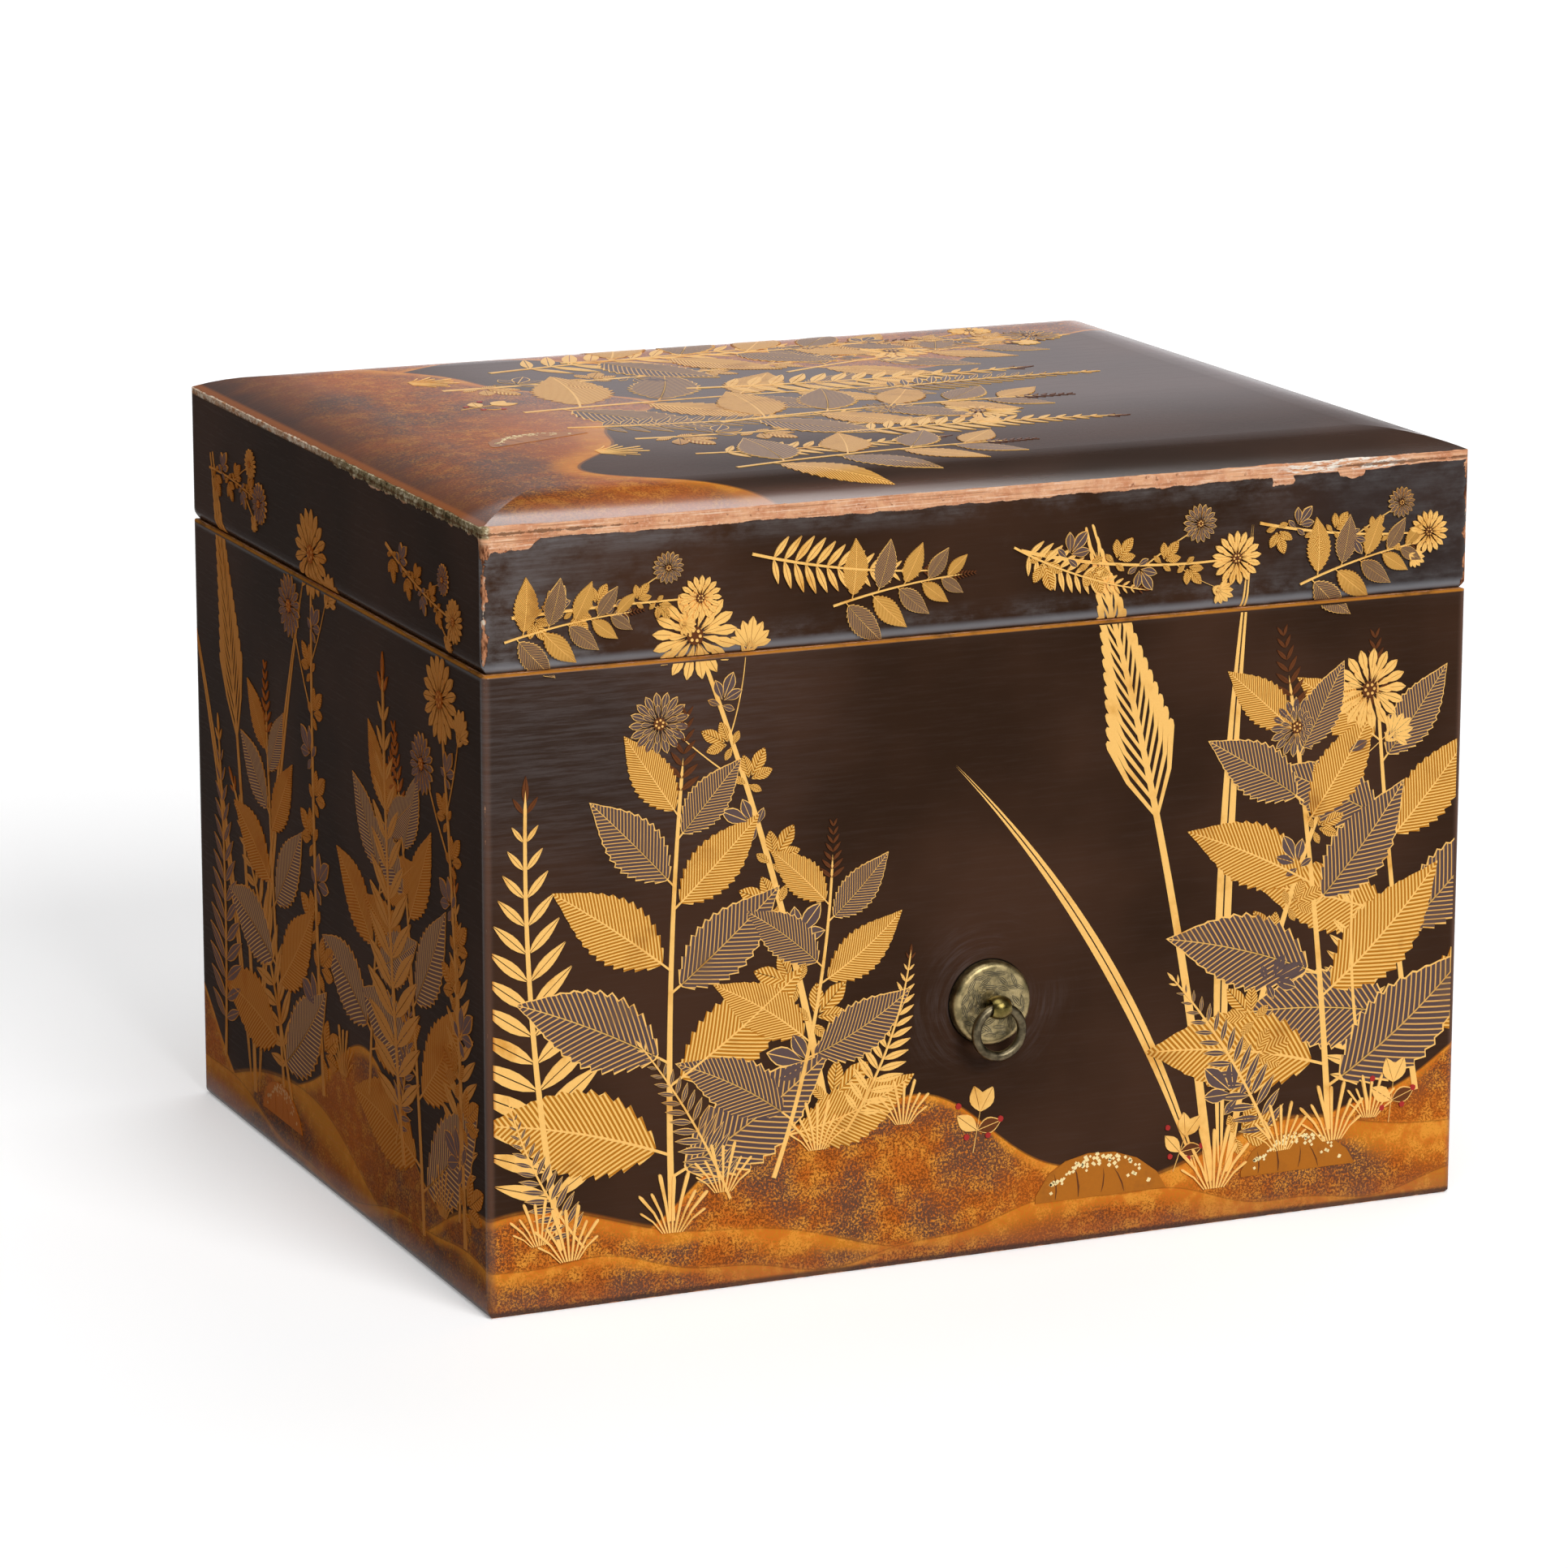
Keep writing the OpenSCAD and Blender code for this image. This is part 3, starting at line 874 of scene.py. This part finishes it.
def grow_berries():
    """A low sprig with oval leaves and red berries."""
    oval = draw_blade(raised_gold, lens(8, 2.3, 6), rib=0.16)
    grey_oval = dusted(8, 2.4, 6, outline=0.3, rib=0.24, fill=brown_gold)
    parts = [stamp(stalk, size=0.13)]
    for x, turn, drawn in ((6, 62, oval), (6, -64, grey_oval), (11, 24, oval), (11, -20, oval)):
        parts.append(stamp(drawn, x, 0, turn, 0.9, lift=0.02))
    for x, y in ((4, 2.6), (5, -3.4), (12, 6.4), (9.5, -6.2)):
        parts.append(stamp(red_dot, x, y, 0, 0.8, lift=0.06))
    drop(oval, grey_oval)
    return join(parts)


def build_rock():
    """A low rock, with dark cracks and square flakes of gold foil along its back."""
    back = [(0, 2), (4, 8), (9, 11), (16, 12.5), (24, 12), (31, 9.5), (37, 5), (40, 0)]
    parts = [draw_blade(rock_gold, back, mirrored=False)]
    crack = draw_blade(brown_gold, [(0, 0.1), (3, 0.3), (7, 0.22), (10, 0)])
    cracks = [(6, 0.5, 78, 0.75), (13, 0.5, 84, 0.95), (20, 1, 70, 0.7), (27, 0.5, 100, 0.8)]
    for x, y, turn, size in cracks:
        parts.append(stamp(crack, x, y, turn, size, lift=0.02, curl=30))
    flake = draw_blade(flake_gold, [(-0.7, 0.05), (0, 0.7), (0.7, 0)])
    seeds = random.Random(7)
    for _ in range(64):
        x = seeds.uniform(4, 36)
        reach = 12.2 * sin(pi * (x + 1) / 42)
        y = reach - abs(seeds.gauss(0.8, 1.6))
        turn = seeds.uniform(-20, 20)
        size = seeds.uniform(0.6, 1.05)
        parts.append(stamp(flake, x, max(y, 1), turn, size, lift=0.03))
    drop(crack, flake)
    return join(parts)


MOTIFS = {
    "fern": grow_frond(gold_leaflet, brown_leaflet),
    "grey_fern": grow_frond(grey_leaflet, gold_leaflet),
    "spray": grow_spray(100, gold_flower, grey_flower, gold_bud),
    "grey_spray": grow_spray(84, grey_flower, gold_flower, gold_bud),
    "tall_spray": grow_spray(140, gold_flower, grey_flower, gold_bud),
    "broad": grow_broad(gold_broad, grey_broad),
    "grey_broad": grow_broad(grey_broad, gold_broad, (16, 40, 63, 82)),
    "plume": grow_plume(),
    "blade": draw_blade(raised_gold, lens(100, 1.15, 24, 0.8), rib=0.25),
    "tuft": grow_tuft(),
    "berries": grow_berries(),
    "rock": build_rock(),
}


def lay_sheet(name, body, parts, low, high, creases, drop, frame_matrix, flatness=1.0):
    """Joins flat parts, cuts them to a rectangle, lets them follow the face's curve, gives them depth and
    puts them on the face. Creases are the lines, across u and across v, where the sheet has to bend;
    flatness below 1 presses the parts nearer to the face."""
    sheet = join(parts)
    sheet.name = name
    bpy.ops.object.mode_set(mode="EDIT")
    for axis, normal in enumerate(((1, 0, 0), (0, 1, 0))):
        cuts = [(low[axis], True, False), (high[axis], False, True)]
        for place, inner, outer in cuts + [(line, False, False) for line in creases[axis]]:
            bpy.ops.mesh.select_all(action="SELECT")
            bpy.ops.mesh.bisect(plane_co=Vector(normal) * place * mm, plane_no=normal,
                                threshold=cut_tolerance, clear_inner=inner, clear_outer=outer)
    bpy.ops.object.mode_set(mode="OBJECT")
    for vertex in sheet.data.vertices:
        vertex.co.z = vertex.co.z * flatness - drop(vertex.co.x / mm, vertex.co.y / mm) * mm
    modify(sheet, "SOLIDIFY", thickness=sheet_depth * mm, offset=-1)
    bpy.ops.object.shade_smooth_by_angle(angle=radians(30))
    sheet.data.transform(frame_matrix)
    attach(sheet, body)


def arc_drop(reach, inset, place):
    """How far an edge that curves in by inset over reach lies behind its face at a place along it."""
    radius = (reach ** 2 + inset ** 2) / (2 * inset)
    into = min(max(reach - place, 0), reach)
    return radius - sqrt(radius ** 2 - into ** 2)


def plant(items):
    """Stamps the listed motifs one over the other: (motif, u, v, turn, size, curl), in mm and degrees."""
    return [stamp(MOTIFS[motif], *spot, lift=relief + layer_step * order)
            for order, (motif, *spot) in enumerate(items)]


FRONT_PLANTS = [
    ("blade", 62, 12, 108, 1.4, 26), ("blade", 68, 12, 92, 1.75, -8), ("plume", 65, 12, 97, 1.75, 10),
    ("grey_broad", 126, 30, 100, 1.15, -6), ("fern", 112, 26, 104, 0.75, -20),
    ("tall_spray", 70, 14, 82, 0.95, -20), ("broad", 100, 22, 94, 1.25, 6),
    ("grey_fern", 84, 18, 112, 0.6, 20), ("tall_spray", -44, 36, 100, 1.0, 12),
    ("fern", -118, 16, 100, 1.2, -12), ("broad", -88, 20, 92, 1.2, -8),
    ("grey_broad", -60, 28, 70, 0.85, 20), ("grey_fern", -112, 16, 128, 0.45, -24),
    ("fern", -40, 38, 54, 0.5, 30), ("grey_fern", -72, 24, 112, 0.5, 16), ("rock", 14, 12, 0, 0.95),
    ("berries", -4, 28, 80), ("berries", 54, 16, 70, 0.9), ("rock", 74, 12, 0, 0.85),
    ("berries", 118, 22, 84), ("tuft", -74, 26, 90), ("tuft", -24, 38, 88, 0.9), ("tuft", 86, 18, 92),
    ("tuft", 112, 24, 86, 0.9), ("tuft", -124, 18, 96, 0.9), ("tuft", -48, 34, 90),
    ("tuft", 66, 10, 90, 1.3), ("tuft", 101, 19, 92, 1.2), ("tuft", -88, 17, 88, 1.2),
    ("tuft", -116, 13, 94, 1.1), ("spray", -130, 179, 3, 0.5, -4), ("spray", 8, 185, -16, 0.62, 22),
    ("fern", 6, 186, -30, 0.4, 20), ("fern", -66, 190, -16, 0.5, 14), ("broad", -44, 175, 14, 0.36, -12),
    ("broad", -132, 173, 14, 0.34, -12), ("spray", 76, 187, -14, 0.5, 16),
    ("broad", 88, 170, 20, 0.36, -14),
]
LEFT_PLANTS = [
    ("blade", -70, 12, 100, 1.5, 20), ("blade", -64, 12, 82, 1.6, -16), ("plume", -67, 12, 92, 1.7, 14),
    ("broad", 66, 9, 94, 1.2, 8), ("grey_broad", 26, 36, 84, 0.95, -14), ("fern", 92, 20, 86, 0.9, 10),
    ("tall_spray", -10, 26, 96, 1.05, -10), ("fern", -36, 16, 110, 0.95, 20),
    ("grey_fern", -92, 16, 84, 0.95, 14), ("broad", -42, 15, 98, 1.1, -6),
    ("tall_spray", 96, 14, 92, 1.0, 8), ("grey_fern", 46, 28, 66, 0.5, 20), ("rock", -60, 10, 0, 0.8),
    ("tuft", 80, 18, 90), ("tuft", 6, 36, 90), ("fern", 52, 24, 100, 1.3, -10),
    ("spray", 44, 186, -20, 0.5, 16), ("grey_spray", -96, 182, 2, 0.5, -14),
]
RIGHT_PLANTS = [
    ("fern", -64, 20, 84, 1.1, -18), ("broad", -80, 22, 98, 1.0, 8), ("tall_spray", 6, 30, 92, 1.0, -10),
    ("grey_fern", 26, 30, 66, 0.7, 20), ("grey_spray", 64, 24, 96, 0.95, 18),
    ("blade", 86, 20, 104, 1.4, 20), ("plume", 90, 20, 88, 1.5, -18), ("rock", 30, 10, 0, 0.8),
    ("tuft", -40, 22, 90), ("spray", -84, 176, 10, 0.55, -16), ("grey_spray", 20, 186, -10, 0.5, 14),
]
BACK_PLANTS = [
    ("broad", -84, 24, 94, 1.1, -8), ("fern", -108, 24, 104, 1.0, 16),
    ("grey_fern", -66, 26, 66, 0.7, 22), ("tall_spray", 66, 24, 98, 1.0, 12),
    ("grey_broad", 88, 24, 78, 0.85, -16), ("fern", 118, 24, 100, 1.0, 16),
    ("blade", -40, 16, 84, 1.4, -24), ("plume", -44, 16, 98, 1.5, 14), ("rock", 20, 10, 0, 0.9),
    ("berries", 44, 20, 90), ("tuft", -24, 20, 90), ("spray", -30, 180, 0, 0.5, -6),
    ("grey_fern", -34, 182, 16, 0.36, -12), ("fern", -52, 24, 82, 0.9, -14),
]
TOP_PLANTS = [
    ("tall_spray", -86, 52, -2, 1.0, 16), ("broad", -78, 12, 6, 1.15, -14),
    ("grey_broad", 12, 44, 24, 0.85, -20), ("fern", -64, 74, 12, 1.1, -14),
    ("grey_fern", 30, 66, 10, 0.8, -12), ("spray", -66, -36, -8, 1.0, 22),
    ("grey_fern", -76, -14, -14, 0.8, 20), ("fern", -60, -62, -10, 0.7, 18), ("rock", -104, -34, 20, 0.8),
    ("berries", -92, 22, 20), ("tuft", -82, -50, 0), ("tuft", -90, 66, 0),
    ("broad", -40, 82, -6, 1.0, 12), ("fern", -24, 30, -10, 1.0, 16), ("broad", -36, -22, 10, 0.95, -16),
    ("grey_broad", -58, -84, 14, 0.8, -18), ("grey_spray", 34, 84, -14, 0.8, 12),
    ("fern", -14, -48, 2, 0.8, -12), ("grey_fern", 20, 8, 12, 0.7, -18),
]

lid_foot = (joint_z / mm, 4.0, 1.6)
foot_rise, foot_inset = 2.5, 1.2
crown_w, crown_h = 22.0, 4.8


def side_drop(u, v):
    """How far a side face lies behind its plane: it curves in at the floor and at the lid's lower edge."""
    lid_edge, rise, inset = lid_foot
    if v < foot_rise:
        return arc_drop(foot_rise, foot_inset, v)
    return arc_drop(rise, inset, v - lid_edge) if v > lid_edge else 0.0


def top_drop(u, v):
    """How far the lid's top lies below its crown near the borders."""
    nearest = min(half_w / mm - abs(u), half_d / mm - abs(v))
    return arc_drop(crown_w, crown_h, nearest)


def face_matrix(along, up, origin):
    """Takes a flat sheet to a face: u runs along, v runs up, and its front looks out of the box."""
    out = Vector(along).cross(Vector(up))
    columns = Matrix((along, up, out)).transposed().to_4x4()
    return Matrix.Translation(origin) @ columns


up = (0, 0, 1)
FACES = {
    "front": (FRONT_PLANTS, half_w, face_matrix((1, 0, 0), up, (0, -half_d, 0))),
    "back": (BACK_PLANTS, half_w, face_matrix((-1, 0, 0), up, (0, half_d, 0))),
    "left": (LEFT_PLANTS, half_d, face_matrix((0, -1, 0), up, (-half_w, 0, 0))),
    "right": (RIGHT_PLANTS, half_d, face_matrix((0, 1, 0), up, (half_w, 0, 0))),
}
corner_margin, top_margin = 1.6, 3
rim = joint_z / mm
body_span = (1.0, rim - 1.1)
lid_span = (rim + 0.3, seam_z / mm - 3.5)
foot_creases = (1.5, 2.0, foot_rise)
lid_creases = (rim + 1, rim + 2, rim + 3, rim + 4)
for side, (plants, half, matrix) in FACES.items():
    edge = half / mm - corner_margin
    for body, (low, high), creases in (("body", body_span, foot_creases), ("lid", lid_span, lid_creases)):
        lay_sheet(f"{body}_{side}_decoration", body, plant(plants),
                  (-edge, low), (edge, high), ((), creases), side_drop, matrix)

steps = [crown_w / 8 * step for step in range(1, 9)]
creases = [[side * (half / mm - step) for step in steps for side in (-1, 1)] for half in (half_w, half_d)]
lay_sheet("lid_top_decoration", "lid", plant(TOP_PLANTS),
          (-half_w / mm + top_margin, -half_d / mm + top_margin),
          (half_w / mm - top_margin, half_d / mm - top_margin), creases, top_drop,
          face_matrix((1, 0, 0), (0, 1, 0), (0, 0, lid_top_z)), flatness=0.4)

# Engraving on the ring plates: fine leaf strokes cut all over the flat of each plate, dark with old dirt.
# Each leaf is two bowed edges and a rib, in rings between the post's neck and the plate's shoulder.
engraved_shade = aged_metal("engraved_shade", (72, 67, 56), (102, 96, 80), 0.5)[0]
leaf_length = 6.2
flat_r = plate_r / mm - 1.6
cut_line = draw_blade(engraved_shade, lens(leaf_length, 0.15, 7))
cut_leaf = join([stamp(cut_line, turn=lean, curl=-2 * lean) for lean in (-26, 0, 26)])


def engrave():
    """Leaf strokes in three rings about the neck, each leaf turned a little its own way along its ring."""
    seeds = random.Random(11)
    cuts = []
    for reach, count in ((4.7, 7), (6.5, 10), (8.2, 15)):
        for step in range(count):
            around = 360 * (step + seeds.uniform(-0.2, 0.2)) / count
            turn = around + seeds.choice((70, 100, 125))
            size = seeds.uniform(0.6, 0.82)
            back = leaf_length * size / 2
            u = reach * cos(radians(around)) - back * cos(radians(turn))
            v = reach * sin(radians(around)) - back * sin(radians(turn))
            cuts.append(stamp(cut_leaf, u, v, turn, size, lift=0.02))
    return cuts


plate_face = plate_low.y
for side, along, out in (("front", (1, 0, 0), plate_face), ("back", (-1, 0, 0), -plate_face)):
    lay_sheet(f"{side}_plate_engraving", "body", engrave(), (-flat_r, -flat_r),
              (flat_r, flat_r), ((), ()), lambda u, v: 0.0, face_matrix(along, up, (0, out, fitting_z)))

drop(*MOTIFS.values(), gold_leaflet, grey_leaflet, brown_leaflet, gold_petal, grey_petal, stalk, hair, dot,
     red_dot, gold_lobe, grey_lobe, gold_flower, grey_flower, gold_bud, gold_leaf, grey_leaf, gold_broad,
     grey_broad, cut_line, cut_leaf)

# Studio: a pale floor, a broad soft key light from the front, a high soft light from the left, a softbox
# above and behind, a low panel of faintly rosy white at the back right, and the camera.
floor_radius = 14.0
floor_glow = 0.28
bpy.ops.object.select_all(action="DESELECT")
bpy.ops.mesh.primitive_circle_add(vertices=96, radius=floor_radius, fill_type="NGON")
floor = bpy.context.object
floor.name = "studio_floor"
floor_paint, _, shader = new_material("floor_paint", Roughness=1.0, Specular_IOR_Level=0.0)
shader["Emission Color"] = (1, 1, 1, 1)
rays = shader.nodes.add("LightPath")
seen = largest(rays["Is Camera Ray"], rays["Is Glossy Ray"], rays["Is Transmission Ray"])
shader["Base Color"] = mix(seen, (194, 193, 193), (242, 242, 242))
shader["Emission Strength"] = seen * floor_glow
floor.data.materials.append(floor_paint)

room = bpy.data.worlds.new("studio_room")
room.use_nodes = True
room.node_tree.nodes["Background"].inputs["Color"].default_value = paint(74, 73, 74)
bpy.context.scene.world = room
aim = Vector((0, 0, 0.1))
LIGHTS = (
    ("key_light", "SUN", (0.3, -1.65, 1.0), 2.4, 32, (1, 1, 1)),
    ("high_light", "SUN", (-0.26, -0.5, 1.92), 1.1, 40, (1, 1, 1)),
    ("back_softbox", "AREA", (0.63, 0.61, 1.49), 5.5, (1.3, 0.2), (1, 1, 1)),
    ("low_panel", "AREA", (1.3, 2.9, 0.8), 11, (3.0, 1.5), (1.0, 0.92, 0.95)),
)
for name, kind, spot, power, spread, colour in LIGHTS:
    bpy.ops.object.light_add(type=kind, location=spot)
    lamp = bpy.context.object
    lamp.name = name
    lamp.rotation_euler = (aim - Vector(spot)).to_track_quat("-Z", "Y").to_euler()
    lamp.data.energy = power
    lamp.data.color = colour
    if kind == "AREA":
        lamp.data.shape = "RECTANGLE"
        lamp.data.size, lamp.data.size_y = spread
    else:
        lamp.data.angle = radians(spread)

camera_spot = (-0.66285, -1.49427, 0.48763)
camera_pitch, camera_heading, camera_roll = 13.312, 23.661, 0.082
bpy.ops.object.camera_add(location=camera_spot)
camera = bpy.context.object
camera.name = "photo_camera"
camera.rotation_euler = (radians(90 - camera_pitch), 0, radians(-camera_heading))
camera.rotation_euler.rotate_axis("Z", radians(camera_roll))
camera.data.lens = 142.14
camera.data.sensor_width = 36
bpy.context.scene.camera = camera
bpy.context.scene.view_settings.view_transform = "Standard"
